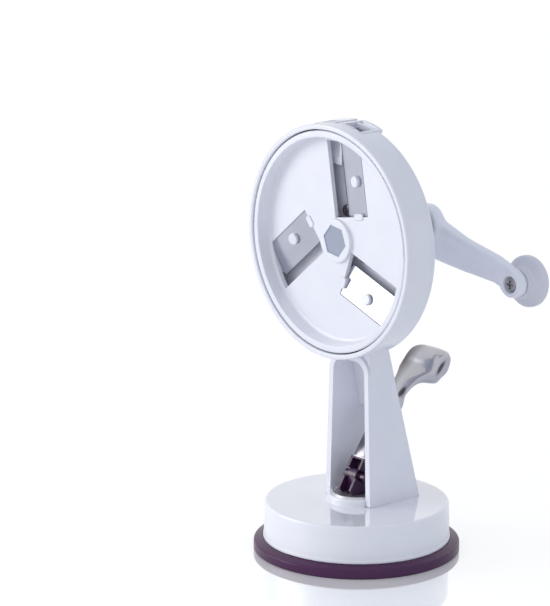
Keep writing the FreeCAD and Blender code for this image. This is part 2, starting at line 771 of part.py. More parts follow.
def disc_blank():
    floor = "-disc_floor"
    rear = "disc_plate - disc_floor"
    wall = "disc_radius - disc_rim"
    hex_corner = "hex_across / 2 / cos(30deg)"
    dish = turned("disc_dish", "Y", [
        ("-disc_floor - hub_proud", "0"),
        ("-disc_floor - hub_proud", "hub_radius", "0.6"),
        (floor, "hub_radius", "0.5"),
        (floor, wall + " - disc_draft", "2"),
        ("-disc_front", wall, "0.5"),
        ("-disc_front", "disc_radius", "0.9"),
        (rear, "disc_radius", "1.2"),
        (rear, "hub_radius", "0.6"),
        (rear + " + hub_rear", "hub_radius - 0.5", "0.5"),
        (rear + " + hub_rear", "0"),
    ])
    corners = []
    for k in range(6):
        angle = "1deg * (hex_turn + %d)" % (60 * k)
        corners.append(("%s * cos(%s)" % (hex_corner, angle), "%s * sin(%s)" % (hex_corner, angle)))
    hex_way = slab("hex_way", "XZ_Plane", corners, "-disc_front", "0")
    return dish, hex_way


def land(i):
    """Sloping land on the feed side that carries a blade, from wall to hub."""
    name = "land_%d" % (i + 1)
    near = EDGE + " + land_setback"
    far = "blade_back + 2.5"
    rear = "disc_plate - disc_floor"
    ramp = slab(name + "_ramp", "XY_Plane", [
        (near, blade_line(near)),
        ("blade_back", "-disc_floor"),
        (far, rear + " - 0.6"),
        (far, rear),
        (near, rear + " + land_rise"),
    ], "blade_inner - 2", "blade_outer + 4")
    trim = rod(name + "_trim", "blade_outer + 1.6", "-disc_front", "0", z="0")
    return move(meet(name, [ramp, trim]), z="shaft_level", turn=(Y_AXIS, blade_angle(i)))


def blade_room(i):
    """Slot in front of the cutting edge and the sunk seat of the blade."""
    name = "room_%d" % (i + 1)
    slot = block(name + "_slot", ("slot_near", EDGE), ("-disc_front", "0"), ("blade_inner", "blade_outer + 4"))
    seat = slab(name + "_seat", "XY_Plane", [
        (EDGE + " - 0.5", "-disc_floor - 3"),
        ("blade_back", "-disc_floor - 3"),
        ("blade_back", blade_line("blade_back") + " + " + THICK),
        (EDGE + " - 0.5", blade_line(EDGE + " - 0.5") + " + " + THICK),
    ], "blade_inner", "blade_outer + 4")
    trim = rod(name + "_trim", "blade_outer", "-disc_front", "0", z="0")
    return move(meet(name, [join(name + "_both", [slot, seat]), trim]), z="shaft_level",
                turn=(Y_AXIS, blade_angle(i)))


def blade_holders(i):
    """Round stake through the blade and a lug over its inner end."""
    name = "holder_%d" % (i + 1)
    post = stake(name + "_post", "stake_radius - 1", "-0.8", "1.2")
    head = turned(name + "_head", "Y", [
        ("-stake_height", "0"),
        ("-stake_height", "stake_radius", "0.5"),
        ("0", "stake_radius"),
        ("0", "0"),
    ])
    slope = math.degrees(math.atan(num("(disc_plate + blade_rise) / (blade_back - slot_near - slot_width)")))
    foot = Vector(num("stake_across"), num(blade_line("stake_across")), num("stake_reach"))
    head.Placement = Placement(foot, Rotation(Z_AXIS, -slope))
    left, right = "stake_across - 3", "stake_across + 3"
    plan = slab(name + "_lug_plan", "XZ_Plane", [
        (left, "blade_inner - 1.6", "1.2"),
        (right, "blade_inner - 1.6", "1.2"),
        (right, "blade_inner + 1.6", "1.2"),
        (left, "blade_inner + 1.6", "1.2"),
    ], "-disc_front", "0")
    profile = slab(name + "_lug_profile", "XY_Plane", [
        (left, blade_line("stake_across") + " - 1.6"),
        (right, blade_line("stake_across") + " - 1.6"),
        (right, blade_line(right) + " - fit_gap"),
        (left, blade_line(left) + " - fit_gap"),
    ], "blade_inner - 3", "blade_inner + 3")
    return [post, head, meet(name + "_lug", [plan, profile])]


def blade_disc():
    dish, hex_way = disc_blank()
    move(dish, z="shaft_level")
    move(hex_way, z="shaft_level")
    solid = join("disc_solid", [dish] + [land(i) for i in BLADES])
    body = carve("disc_body", solid, [hex_way] + [blade_room(i) for i in BLADES])
    holders = []
    for i in BLADES:
        parts = join("holders_%d" % (i + 1), blade_holders(i))
        holders.append(move(parts, z="shaft_level", turn=(Y_AXIS, blade_angle(i))))
    return join("blade_disc", [body] + holders)


# ---------------------------------------------------------------- drive shaft and bearings

BUSH_FACE = "-drum_rear - drum_back + 0.5"


def shaft_bush(label, low, high, flange_low, flange_high):
    sleeve = "bush_radius"
    bore = "shaft_radius + running_gap"
    front_first = num(flange_low) < num(low)
    corners = [(low, bore), (low, sleeve), (high, sleeve), (high, bore)]
    if front_first:
        corners = [(flange_low, bore), (flange_low, sleeve + " + bush_flange", "0.2"),
                   (flange_high, sleeve + " + bush_flange"), (flange_high, sleeve), (high, sleeve, "0.3"),
                   (high, bore)]
    else:
        corners = [(low, bore), (low, sleeve, "0.3"), (flange_low, sleeve),
                   (flange_low, sleeve + " + bush_flange"), (flange_high, sleeve + " + bush_flange", "0.2"),
                   (flange_high, bore)]
    return move(turned(label, "Y", corners), z="shaft_level")


def drive_shaft():
    front = "-disc_floor - hub_proud + shaft_recess"
    thrust = BUSH_FACE + " - axial_gap"
    groove = "clip_front - 0.05"
    round_part = turned("shaft_round", "Y", [
        (thrust + " - collar_thick - 1", "0"),
        (thrust + " - collar_thick - 1", "5"),
        (thrust + " - collar_thick", "5"),
        (thrust + " - collar_thick", "bush_radius", "0.3"),
        (thrust, "bush_radius"),
        (thrust, "shaft_radius"),
        (groove, "shaft_radius"),
        (groove, "shaft_radius - clip_groove"),
        (groove + " + clip_thick + 0.1", "shaft_radius - clip_groove"),
        (groove + " + clip_thick + 0.1", "shaft_radius"),
        ("shaft_rear", "shaft_radius", "0.4"),
        ("shaft_rear", "0"),
    ])
    move(round_part, z="shaft_level")
    corners = []
    for k in range(6):
        angle = "1deg * (hex_turn + %d)" % (60 * k)
        size = "(hex_across / 2 - fit_gap) / cos(30deg)"
        corners.append(("%s * cos(%s)" % (size, angle), "%s * sin(%s)" % (size, angle), "0.4"))
    hex_end = slab("hex_end", "XZ_Plane", corners, front, thrust + " - collar_thick")
    move(hex_end, z="shaft_level")
    tools = [
        rod("shaft_thread", "crank_screw_radius + fit_gap", "shaft_rear - 14", "shaft_rear + 1"),
        block("shaft_flat", ("shaft_radius - flat_depth", "shaft_radius + 1"), ("crank_front", "shaft_rear + 1"),
              ("shaft_level - 6", "shaft_level + 6")),
    ]
    return carve("drive_shaft", join("shaft_solid", [round_part, hex_end]), tools)


def shaft_clip():
    ring = turned("clip_ring", "Y", [
        ("clip_front", "shaft_radius - clip_groove + fit_gap"),
        ("clip_front", "clip_radius", "0.15"),
        ("clip_front + clip_thick", "clip_radius", "0.15"),
        ("clip_front + clip_thick", "shaft_radius - clip_groove + fit_gap"),
    ])
    move(ring, z="shaft_level")
    mouth = block("clip_mouth", ("-2.6", "2.6"), ("tube_rear", "crank_front"),
                  ("shaft_level - clip_radius - 1", "shaft_level"))
    return carve("shaft_clip", ring, [mouth])


# ---------------------------------------------------------------- crank

def crank_arm():
    root = "0.21 * crank_reach"
    plan = slab("arm_plan", "XZ_Plane", [
        ("-0.05 * crank_reach", "-crank_hub_radius + 0.5", "6"),
        (root, "-arm_root_drop", "6"),
        ("0.48 * crank_reach", "-arm_root_drop + 3.1", "20"),
        ("0.84 * crank_reach", "-arm_tip_drop", "5"),
        ("crank_reach", "-eye_radius + 0.1"),
        ("crank_reach", "eye_radius - 0.1"),
        ("0.74 * crank_reach", "arm_top_rise + 1.2", "30"),
        ("0.41 * crank_reach", "arm_top_rise - 0.7", "40"),
        ("0.10 * crank_reach", "arm_top_rise + 0.4", "8"),
        ("0.02 * crank_reach", "crank_hub_radius - 0.6", "2"),
        ("-0.06 * crank_reach", "crank_hub_radius - 2", "2"),
    ], "crank_front - 4", "eye_front + eye_thick + 4")
    near = "0.07 * crank_reach"
    far = "0.88 * crank_reach"
    profile = slab("arm_profile", "XY_Plane", [
        ("-1.5 * crank_hub_radius", "crank_front + 0.4"),
        (near, "crank_front + 0.4", "16"),
        (far, "eye_front", "14"),
        ("crank_reach + eye_radius + 1", "eye_front"),
        ("crank_reach + eye_radius + 1", "eye_front + eye_thick"),
        (far + " - 1", "eye_front + eye_thick", "20"),
        (near + " - 1", "crank_front + 0.4 + crank_thick", "10"),
        ("-1.5 * crank_hub_radius", "crank_front + 0.4 + crank_thick"),
    ], "-40", "40")
    arm = meet("arm_form", [plan, profile])
    hub = turned("crank_hub", "Y", [
        ("crank_front", "0"),
        ("crank_front", "crank_hub_radius", "1.2"),
        ("crank_front + crank_hub_length", "crank_hub_radius", "1.2"),
        ("crank_front + crank_hub_length", "0"),
    ])
    eye = turned("crank_eye", "Y", [
        ("eye_front - 0.4", "0"),
        ("eye_front - 0.4", "eye_radius", "1"),
        ("eye_front + eye_thick", "eye_radius", "1"),
        ("eye_front + eye_thick", "0"),
    ])
    move(eye, x="crank_reach")
    trough_plan = slab("trough_plan", "XZ_Plane", [
        ("0.24 * crank_reach", "-arm_root_drop + 3", "4"),
        ("0.48 * crank_reach", "-arm_root_drop + 5.6", "20"),
        ("0.80 * crank_reach", "-arm_tip_drop + 2.4", "2"),
        ("0.80 * crank_reach", "arm_top_rise - 3.6", "2"),
        ("0.41 * crank_reach", "arm_top_rise - 5.2", "40"),
        ("0.22 * crank_reach", "arm_top_rise - 5.2", "3"),
    ], "crank_front - 4", "eye_front + eye_thick + 4")
    trough_side = slab("trough_side", "XY_Plane", [
        ("0", "crank_front - 6"),
        ("crank_reach", "crank_front - 6"),
        ("crank_reach", "eye_front + trough_depth"),
        (far, "eye_front + trough_depth", "14"),
        (near, "crank_front + 0.4 + trough_depth", "16"),
        ("0", "crank_front + 0.4 + trough_depth"),
    ], "-40", "40")
    trough = meet("trough", [trough_plan, trough_side])
    recess_floor = "eye_front - 0.4 + eye_recess_depth"
    spigot_floor = "eye_front + eye_thick - spigot_length"
    bore = carve("hub_bore", rod("hub_hole", "shaft_radius + fit_gap", "crank_front - 1", "shaft_rear + 0.2", z="0"),
                 [move(block("hub_flat", ("shaft_radius - flat_depth + fit_gap", "shaft_radius + 2"),
                             ("crank_front - 2", "shaft_rear + 2"), ("-6", "6")))])
    bore_tools = [
        trough,
        move(bore, turn=(Y_AXIS, "-crank_droop")),
        rod("hub_screw_hole", "crank_screw_radius + 0.2", "shaft_rear", "crank_front + crank_hub_length + 1", z="0"),
        rod("eye_recess", "eye_recess_radius", "eye_front - 5", recess_floor, x="crank_reach", z="0"),
        rod("eye_screw_hole", "knob_screw_radius + 0.15", recess_floor + " - 1", spigot_floor + " + 1",
            x="crank_reach", z="0"),
        rod("eye_spigot_hole", "spigot_radius + fit_gap", spigot_floor, "eye_front + eye_thick + 1",
            x="crank_reach", z="0"),
    ]
    solid = join("crank_solid", [arm, hub, eye])
    return move(carve("crank_arm", solid, bore_tools), z="shaft_level", turn=(Y_AXIS, "crank_droop"))


EYE_X = "crank_reach * cos(1deg * crank_droop)"
EYE_Z = "shaft_level - crank_reach * sin(1deg * crank_droop)"


def crank_screw():
    item = screw("crank_screw", "crank_screw_radius", "crank_screw_head", "2.2", "12")
    item.Placement = Placement(Vector(0, num("crank_front + crank_hub_length"), num("shaft_level")),
                               Rotation(Z_AXIS, 180))
    return item


def knob_screw():
    item = screw("knob_screw", "knob_screw_radius", "knob_screw_head", "eye_recess_depth - 0.5", "9")
    return move(item, EYE_X, "eye_front - 0.4 + eye_recess_depth", EYE_Z)


# ---------------------------------------------------------------- knob

KNOB_FRONT = "eye_front + eye_thick + knob_gap"
KNOB_REAR = "eye_front + eye_thick + knob_gap + knob_length"
CAP_SEAT = KNOB_REAR + " - knob_cap_thick"
HEAD_REAR = CAP_SEAT + " - 0.4"
LEDGE = HEAD_REAR + " - spindle_head_thick - axial_gap"


def knob():
    item = turned("knob", "Y", [
        (KNOB_FRONT, "spindle_radius + running_gap"),
        (KNOB_FRONT, "knob_neck", "0.8"),
        (KNOB_FRONT + " + 0.26 * knob_length", "knob_neck - 0.2", "2.4"),
        (KNOB_FRONT + " + 0.47 * knob_length", "knob_rim - 0.2", "1.4"),
        (KNOB_REAR + " - 2.2", "knob_rim", "2"),
        (KNOB_REAR, "knob_rim - 2", "1.2"),
        (KNOB_REAR, "knob_cap_radius + fit_gap"),
        (CAP_SEAT, "knob_cap_radius + fit_gap"),
        (CAP_SEAT, "spindle_head + 0.3"),
        (LEDGE, "spindle_head + 0.3"),
        (LEDGE, "spindle_radius + running_gap"),
    ])
    return move(item, x=EYE_X, z=EYE_Z)


def knob_cap():
    item = turned("knob_cap", "Y", [
        (CAP_SEAT, "0"),
        (CAP_SEAT, "knob_cap_radius", "0.2"),
        (KNOB_REAR, "knob_cap_radius", "0.5"),
        (KNOB_REAR + " + 0.3", "0"),
    ])
    return move(item, x=EYE_X, z=EYE_Z)


def knob_spindle():
    low = "eye_front + eye_thick - spigot_length"
    item = turned("knob_spindle", "Y", [
        (low, "knob_screw_radius + fit_gap"),
        (low, "spigot_radius"),
        ("eye_front + eye_thick", "spigot_radius"),
        ("eye_front + eye_thick", "spindle_radius"),
        (LEDGE + " + axial_gap", "spindle_radius"),
        (LEDGE + " + axial_gap", "spindle_head"),
        (HEAD_REAR, "spindle_head", "0.4"),
        (HEAD_REAR, "0"),
        (low + " + 9.5", "0"),
        (low + " + 9.5", "knob_screw_radius + fit_gap"),
    ])
    return move(item, x=EYE_X, z=EYE_Z)


# ---------------------------------------------------------------- assembly and export

nodes = [
    suction_cup(), base_cup(), cam_washer(), lift_stem(), suction_lever(), pedestal(), drum_housing(),
    housing_screws(),
    shaft_bush("shaft_bush_front", "-drum_rear", "bush_length - drum_rear", BUSH_FACE, "-drum_rear"),
    shaft_bush("shaft_bush_rear", "tube_rear - bush_length", "tube_rear", "tube_rear", "tube_rear + bush_flange"),
    drive_shaft(), shaft_clip(), blade_disc(), *[blade(i) for i in BLADES],
    crank_arm(), crank_screw(), knob_screw(), knob(), knob_cap(), knob_spindle(),
]
doc.recompute()

for item in doc.Objects:
    bad = [word for word in item.State if word in ("Invalid", "Error")]
    if bad:
        raise RuntimeError("%s is %s" % (item.Label, bad))
for item in nodes:
    if item.Shape.isNull() or not item.Shape.isValid() or not item.Shape.Solids:
        raise RuntimeError("%s has no valid solid" % item.Label)

os.makedirs("parts", exist_ok=True)
for item in nodes:
    item.Label = item.Name
    item.Shape.exportStep("parts/%s.step" % item.Label)
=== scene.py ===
import math
import bmesh
import bpy
from mathutils import Matrix, Vector


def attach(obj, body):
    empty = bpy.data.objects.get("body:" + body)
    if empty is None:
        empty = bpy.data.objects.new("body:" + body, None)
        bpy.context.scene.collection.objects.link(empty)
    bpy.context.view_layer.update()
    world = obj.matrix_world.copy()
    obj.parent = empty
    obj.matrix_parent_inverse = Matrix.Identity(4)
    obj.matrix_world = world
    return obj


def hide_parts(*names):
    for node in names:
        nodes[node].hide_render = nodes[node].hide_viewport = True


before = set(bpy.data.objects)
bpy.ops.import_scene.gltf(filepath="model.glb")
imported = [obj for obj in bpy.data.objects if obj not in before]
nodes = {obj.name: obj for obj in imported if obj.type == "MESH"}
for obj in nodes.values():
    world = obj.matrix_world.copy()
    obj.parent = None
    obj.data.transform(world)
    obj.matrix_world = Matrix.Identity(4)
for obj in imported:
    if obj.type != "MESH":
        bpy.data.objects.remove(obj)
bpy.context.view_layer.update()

scene = bpy.context.scene

# ---------------------------------------------------------------- materials

# Noise scales are per metre, depths and edge radii are in metres.
FLOW_SCALE = 60.0
SKIN_SCALE = 1800.0
SKIN_DEPTH = 0.00008
GRAIN_SCALE = 220.0
GRAIN_DEPTH = 0.00005
METAL_CLOUD_SCALE = 45.0
METAL_EDGE = 0.0003


def new_material(name):
    mat = bpy.data.materials.new(name)
    mat.use_nodes = True
    tree = mat.node_tree
    shader = tree.nodes["Principled BSDF"]
    return mat, tree, shader


def object_coordinates(tree):
    return tree.nodes.new("ShaderNodeTexCoord").outputs["Object"]


def noise(tree, vector, scale, detail=3.0, rough=0.5):
    """Soft clouds between 0 and 1, finer with a higher scale."""
    node = tree.nodes.new("ShaderNodeTexNoise")
    node.inputs["Scale"].default_value = scale
    node.inputs["Detail"].default_value = detail
    node.inputs["Roughness"].default_value = rough
    tree.links.new(vector, node.inputs["Vector"])
    return node.outputs["Fac"]


def remap(tree, value, low, high, out_low, out_high):
    """Straight line from one range to another, held at its ends."""
    node = tree.nodes.new("ShaderNodeMapRange")
    node.inputs["From Min"].default_value = low
    node.inputs["From Max"].default_value = high
    node.inputs["To Min"].default_value = out_low
    node.inputs["To Max"].default_value = out_high
    tree.links.new(value, node.inputs["Value"])
    return node.outputs["Result"]


def ramp(tree, value, stops):
    """Colour between stops, each (place, colour)."""
    node = tree.nodes.new("ShaderNodeValToRGB")
    elements = node.color_ramp.elements
    while len(elements) < len(stops):
        elements.new(0.5)
    for element, (place, colour) in zip(elements, stops):
        element.position = place
        element.color = (*colour, 1)
    tree.links.new(value, node.inputs["Fac"])
    return node.outputs["Color"]


def scaled(tree, vector, scale):
    node = tree.nodes.new("ShaderNodeMapping")
    node.inputs["Scale"].default_value = scale
    tree.links.new(vector, node.inputs["Vector"])
    return node.outputs["Vector"]


def round_edges(tree, shader, radius, height, strength, distance):
    """Soft moulded edges, with fine surface relief on top."""
    bevel = tree.nodes.new("ShaderNodeBevel")
    bevel.samples = 4
    bevel.inputs["Radius"].default_value = radius
    bump = tree.nodes.new("ShaderNodeBump")
    bump.inputs["Strength"].default_value = strength
    bump.inputs["Distance"].default_value = distance
    tree.links.new(height, bump.inputs["Height"])
    tree.links.new(bevel.outputs["Normal"], bump.inputs["Normal"])
    tree.links.new(bump.outputs["Normal"], shader.inputs["Normal"])


def plastic(name, dark, light, rough, edge=0.0005, coat=0.0, relief=0.06, shine=0.5):
    """Moulded plastic: slight flow variation in colour, uneven gloss, soft edges."""
    mat, tree, shader = new_material(name)
    where = object_coordinates(tree)
    flow = noise(tree, where, FLOW_SCALE, 4.0, 0.55)
    fine = noise(tree, where, SKIN_SCALE, 2.0)
    tree.links.new(ramp(tree, flow, [(0.25, dark), (0.75, light)]), shader.inputs["Base Color"])
    tree.links.new(remap(tree, flow, 0.2, 0.8, rough * 0.85, rough * 1.2),
                   shader.inputs["Roughness"])
    shader.inputs["IOR"].default_value = 1.5
    shader.inputs["Specular IOR Level"].default_value = shine
    shader.inputs["Coat Weight"].default_value = coat
    shader.inputs["Coat Roughness"].default_value = 0.08
    round_edges(tree, shader, edge, fine, relief, SKIN_DEPTH)
    return mat


def metal(name, dark, light, rough, stretch, relief=0.12):
    """Metal with fine marks, drawn out along one direction by stretch."""
    mat, tree, shader = new_material(name)
    where = scaled(tree, object_coordinates(tree), stretch)
    grain = noise(tree, where, GRAIN_SCALE, 5.0, 0.6)
    cloud = noise(tree, object_coordinates(tree), METAL_CLOUD_SCALE, 3.0)
    tree.links.new(ramp(tree, cloud, [(0.3, dark), (0.7, light)]), shader.inputs["Base Color"])
    tree.links.new(remap(tree, grain, 0.25, 0.75, rough * 0.75, rough * 1.3),
                   shader.inputs["Roughness"])
    shader.inputs["Metallic"].default_value = 1.0
    round_edges(tree, shader, METAL_EDGE, grain, relief, GRAIN_DEPTH)
    return mat


def greatest(tree, first, second):
    """The greater of two values."""
    node = tree.nodes.new("ShaderNodeMath")
    node.operation = "MAXIMUM"
    tree.links.new(first, node.inputs[0])
    tree.links.new(second, node.inputs[1])
    return node.outputs["Value"]


def along(tree, vector, direction):
    """Length of a vector along a direction."""
    node = tree.nodes.new("ShaderNodeVectorMath")
    node.operation = "DOT_PRODUCT"
    node.inputs[1].default_value = direction
    tree.links.new(vector, node.inputs[0])
    return node.outputs["Value"]


def painted_reflection_spot(tree, vector, centre, radii, lean):
    """1 inside a long soft spot round a point of the object, 0 outside it."""
    node = tree.nodes.new("ShaderNodeMapping")
    node.vector_type = "TEXTURE"
    node.inputs["Location"].default_value = centre
    node.inputs["Rotation"].default_value = (math.radians(lean), 0, 0)
    node.inputs["Scale"].default_value = radii
    tree.links.new(vector, node.inputs["Vector"])
    length = tree.nodes.new("ShaderNodeVectorMath")
    length.operation = "LENGTH"
    tree.links.new(node.outputs["Vector"], length.inputs[0])
    return remap(tree, length.outputs["Value"], 0.5, 1.0, 1.0, 0.0)


def blended(tree, factor, first, second):
    """First colour at factor 0, second colour at factor 1."""
    node = tree.nodes.new("ShaderNodeMix")
    node.data_type = "RGBA"
    tree.links.new(factor, node.inputs["Factor"])
    tree.links.new(first, node.inputs["A"])
    tree.links.new(second, node.inputs["B"])
    return node.outputs["Result"]


# The lever at rest, in metres: its pin, its fork's top above the pin, and its lean to the rear.
PIN_LEVEL = 0.0372
FORK_TOP = 0.0083
LEVER_LEAN = math.radians(32.5)
FORK_DARK, FORK_LIGHT = (0.034, 0.008, 0.042), (0.046, 0.012, 0.054)
CHROME_DARK, CHROME_LIGHT = (0.43, 0.43, 0.47), (0.49, 0.49, 0.54)
# Colours of the painted dark reflections on the chrome.
SHADE_DARK, SHADE_LIGHT = (0.080, 0.066, 0.080), (0.12, 0.104, 0.12)

# Painted dark reflections fixed to the lever: centre, radii, lean in degrees, strength.
LEVER_PAINTED_REFLECTIONS = (
    ((0.0115, 0.0458, 0.0870), (0.0026, 0.0017, 0.0056), -50.0, 1.0),
    ((0.0041, 0.0260, 0.0766), (0.0020, 0.0030, 0.0042), -48.7, 1.0),
    ((0.0015, 0.0070, 0.0520), (0.0090, 0.0090, 0.0090), 0.0, 0.7),
)
# Distances to the left of the middle over which a painted dark reflection darkens the lever.
LEFT_START, LEFT_END = 0.001, 0.009
RIM_BLEND = 0.0002


def lever_look():
    """Chromed lever on a purple moulded fork, with painted dark reflections on its polished paddle.
    """
    mat, tree, shader = new_material("lever_chrome_on_purple")
    where = object_coordinates(tree)
    cloud = noise(tree, where, FLOW_SCALE, 3.0)
    grain = noise(tree, scaled(tree, where, (1, 1, 0.25)), GRAIN_SCALE, 5.0, 0.6)
    chrome = ramp(tree, cloud, [(0.3, CHROME_DARK), (0.7, CHROME_LIGHT)])
    shade = ramp(tree, cloud, [(0.3, SHADE_DARK), (0.7, SHADE_LIGHT)])
    fork = ramp(tree, cloud, [(0.3, FORK_DARK), (0.7, FORK_LIGHT)])
    # Painted dark reflections: the chrome turns to the shade colours on the lever's left side and
    # in the listed spots.
    dark = remap(tree, along(tree, where, (-1, 0, 0)), LEFT_START, LEFT_END, 0.0, 1.0)
    for centre, radii, lean, strength in LEVER_PAINTED_REFLECTIONS:
        spot = painted_reflection_spot(tree, where, centre, radii, lean)
        dark = greatest(tree, dark, remap(tree, spot, 0.0, 1.0, 0.0, strength))
    upward = (0, math.sin(LEVER_LEAN), math.cos(LEVER_LEAN))
    rim = FORK_TOP + PIN_LEVEL * math.cos(LEVER_LEAN)
    above = remap(tree, along(tree, where, upward), rim, rim + RIM_BLEND, 0.0, 1.0)
    colour = blended(tree, above, fork, blended(tree, dark, chrome, shade))
    tree.links.new(colour, shader.inputs["Base Color"])
    tree.links.new(above, shader.inputs["Metallic"])
    tree.links.new(remap(tree, grain, 0.25, 0.75, 0.16, 0.28), shader.inputs["Roughness"])
    round_edges(tree, shader, 0.0008, grain, 0.05, GRAIN_DEPTH)
    return mat


def polish_top(mat):
    """Upward faces are polished, upright ones are satin."""
    tree = mat.node_tree
    shader = tree.nodes["Principled BSDF"]
    facing = tree.nodes.new("ShaderNodeTexCoord").outputs["Normal"]
    up = along(tree, facing, (0, 0, 1))
    tree.links.new(remap(tree, up, 0.3, 0.9, 0.36, 0.08), shader.inputs["Roughness"])
    tree.links.new(remap(tree, up, 0.3, 0.9, 0.30, 0.03), shader.inputs["Coat Roughness"])


WHITE = plastic("white_moulded", (0.80, 0.80, 0.87), (0.84, 0.84, 0.90), 0.22, coat=0.2)
# Lighter copy of the moulded white: painted light that brightens the base. Its gloss and coat are
# real polish.
WHITE_BASE = plastic("white_polished_painted_light", (0.84, 0.84, 0.90), (0.88, 0.88, 0.93), 0.10,
                     coat=1.0, relief=0.02)
WHITE_CRANK = plastic("white_crank", (0.81, 0.82, 0.89), (0.85, 0.86, 0.92), 0.3, edge=0.0008)
# Darker copy of the moulded white: painted shade on the knob and its cap.
KNOB_PAINTED_SHADE = plastic("white_knob_painted_shade", (0.67, 0.67, 0.74), (0.71, 0.71, 0.78), 0.3)
RUBBER = plastic("purple_rubber", (0.052, 0.011, 0.056), (0.068, 0.016, 0.072), 0.3,
                 relief=0.05, shine=0.28)
PURPLE = plastic("purple_moulded", FORK_DARK, FORK_LIGHT, 0.2, coat=0.3)
# Painted shade: the drive shaft is white plastic, coloured grey-blue for the shade on its hex end
# in the disc's hub.
HEX_PAINTED_SHADE = plastic("hex_end_painted_shade", (0.31, 0.345, 0.435), (0.345, 0.38, 0.47), 0.35)
BUSH = plastic("bush_moulded", (0.50, 0.50, 0.47), (0.58, 0.58, 0.55), 0.45)
LEVER = lever_look()
BLADE = metal("blade_ground", (0.42, 0.43, 0.49), (0.48, 0.49, 0.55), 0.18, (1, 0.2, 1), relief=0.1)
SCREW = metal("screw_plated", (0.27, 0.25, 0.28), (0.38, 0.36, 0.39), 0.3, (1, 1, 1))
DISH = metal("dish_plated", (0.62, 0.62, 0.65), (0.70, 0.70, 0.73), 0.4, (1, 1, 1))

polish_top(WHITE_BASE)

LOOKS = {
    "suction_cup": RUBBER, "lift_stem": PURPLE, "cam_washer": DISH, "suction_lever": LEVER,
    "base_cup": WHITE_BASE, "pedestal": WHITE, "drum_housing": WHITE, "blade_disc": WHITE,
    "crank_arm": WHITE_CRANK, "knob": KNOB_PAINTED_SHADE, "knob_cap": KNOB_PAINTED_SHADE,
    "housing_screws": SCREW, "crank_screw": SCREW, "knob_screw": SCREW, "shaft_clip": SCREW,
    "knob_spindle": SCREW, "shaft_bush_front": BUSH, "shaft_bush_rear": BUSH,
    "drive_shaft": HEX_PAINTED_SHADE,
    "blade_1": BLADE, "blade_2": BLADE, "blade_3": BLADE,
}

for name, look in LOOKS.items():
    piece = nodes[name]
    for slot in piece.material_slots:
        slot.material = look
    if not piece.material_slots:
        piece.data.materials.append(look)

# ---------------------------------------------------------------- pieces made from the nodes

# Lengths from here to the floor are in millimetres, as in the part's source.
MM = 0.001
SHAFT_LEVEL = 159.4
DRUM_RADIUS = 57.8
DRUM_REAR = -4.9
SHARP_ANGLE = math.radians(35)


def new_piece(name, work, look, body, *stands_for):
    """Object from a bmesh, with crisp edges, riding on its body in place of the named nodes."""
    for face in work.faces:
        face.smooth = True
        face.material_index = 0
    for edge in work.edges:
        edge.smooth = edge.calc_face_angle(0) < SHARP_ANGLE
    mesh = bpy.data.meshes.new(name)
    work.to_mesh(mesh)
    work.free()
    mesh.materials.append(look)
    piece = bpy.data.objects.new(name, mesh)
    scene.collection.objects.link(piece)
    weighted = piece.modifiers.new("flat_faces", "WEIGHTED_NORMAL")
    weighted.keep_sharp = True
    weighted.weight = 100
    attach(piece, body)
    if stands_for:
        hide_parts(*stands_for)
    return piece


def closed_copy(name):
    """The node's mesh with the seams between its faces merged."""
    work = bmesh.new()
    work.from_mesh(nodes[name].data)
    bmesh.ops.remove_doubles(work, verts=work.verts, dist=1e-6)
    return work


def loft(levels):
    """Closed solid through rectangles (z, x from, x to, y from, y to), in millimetres."""
    work = bmesh.new()
    rings = []
    for z, x0, x1, y0, y1 in levels:
        corners = ((x0, y0), (x1, y0), (x1, y1), (x0, y1))
        rings.append([work.verts.new((x * MM, y * MM, z * MM)) for x, y in corners])
    work.faces.new(rings[0])
    work.faces.new(rings[-1])
    for low, high in zip(rings, rings[1:]):
        for i in range(4):
            work.faces.new((low[i - 1], low[i], high[i], high[i - 1]))
    bmesh.ops.recalc_face_normals(work, faces=work.faces)
    return work


def evaluated(work, modify):
    """Run one modifier over a bmesh and give the result back as a bmesh."""
    mesh = bpy.data.meshes.new("working")
    work.to_mesh(mesh)
    work.free()
    item = bpy.data.objects.new("working", mesh)
    scene.collection.objects.link(item)
    modify(item)
    shown = item.evaluated_get(bpy.context.evaluated_depsgraph_get())
    result = bmesh.new()
    result.from_mesh(shown.to_mesh())
    shown.to_mesh_clear()
    bpy.data.objects.remove(item)
    return result


def united(work, extra):
    """Boolean union of two closed solids."""
    mesh = bpy.data.meshes.new("added")
    extra.to_mesh(mesh)
    extra.free()
    tool = bpy.data.objects.new("added", mesh)
    scene.collection.objects.link(tool)

    def modify(item):
        union = item.modifiers.new("union", "BOOLEAN")
        union.operation = "UNION"
        union.solver = "EXACT"
        union.object = tool

    result = evaluated(work, modify)
    bpy.data.objects.remove(tool)
    return result


# Pedestal: levels of the deck and of the arch's crown, half widths of its legs at both.
DECK_LEVEL, CROWN_LEVEL = 25.1, 101.3
LEG_OUTER = (16.5, 13.85)
LEG_INNER = (13.1, 11.05)
SKIN = 0.01
# Added to each leg: level, front, rear. Then to the column: level, half width.
LEG_LEVELS = ((25.05, 18.0, 27.3), (89.0, DRUM_REAR, 11.3), (CROWN_LEVEL, DRUM_REAR, 8.3))
COLUMN_LEVELS = ((106.0, 13.8), (SHAFT_LEVEL, 13.0))
COLUMN_INNER, COLUMN_REAR = 10.0, 7.1
# Web between the legs: level, half width, rear.
WEB_LEVELS = ((69.5, 12.7, 15.03), (CROWN_LEVEL, 11.6, 7.1), (104.0, 11.6, 7.09))
WEB_THICKNESS = 2.5


def between(ends, share):
    return ends[0] + (ends[1] - ends[0]) * share


